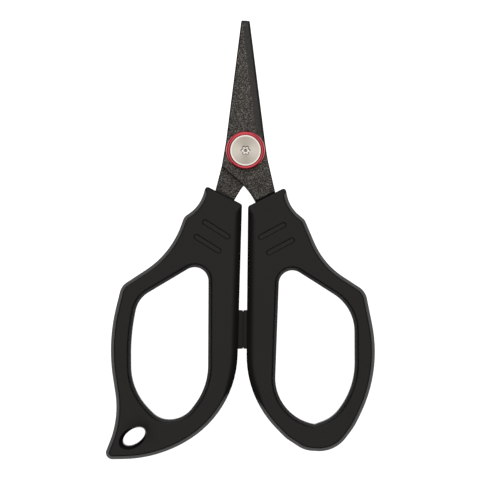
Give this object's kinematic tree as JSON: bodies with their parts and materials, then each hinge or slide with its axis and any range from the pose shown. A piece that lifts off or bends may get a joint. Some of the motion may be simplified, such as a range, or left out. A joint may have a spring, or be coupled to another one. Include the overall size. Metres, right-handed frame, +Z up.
{
  "type": "thread snips",
  "caption": "Short pointed snips with coated blades on one screw pivot and two soft-skinned finger loops; the loops swing apart to open the blades and meet on stop pads.",
  "frame": {"origin": "middle of the footprint, on the surface the snips lie on, with the blades closed", "axes": "+X towards the right finger loop seen from above, +Y towards the blade tips, +Z up through the thickness, from the rear blade to the front blade"},
  "size_m": [0.0859, 0.14, 0.008],
  "materials": {
    "blade_coating": "fine-grained black non-stick coat on stainless steel",
    "screw_steel": "turned and lightly polished",
    "collar_anodising": "red anodised",
    "washer_plastic": "plain, self-coloured",
    "core_plastic": "moulded black",
    "grip_skin": "soft-touch black, satin",
    "pad_rubber": "moulded black"
  },
  "bodies": {
    "rear_half": {"rear_blade": "blade_coating", "left_handle_core": "core_plastic", "left_handle_grip": "grip_skin", "left_stop_pad": "pad_rubber", "pivot_nut": "screw_steel", "pivot_screw": "screw_steel", "spring_washer": "screw_steel", "collar_ring": "collar_anodising", "slip_washer": "washer_plastic", "blade_washer": "washer_plastic"},
    "front_half": {"front_blade": "blade_coating", "right_handle_core": "core_plastic", "right_handle_grip": "grip_skin", "right_stop_pad": "pad_rubber"}
  },
  "joints": [
    {"name": "blade_pivot", "type": "hinge", "parent": "rear_half", "child": "front_half", "pos_m": [0.00162, 0.02852, 0.004], "axis": [0, 0, 1], "range_deg": [0, 115]}
  ]
}
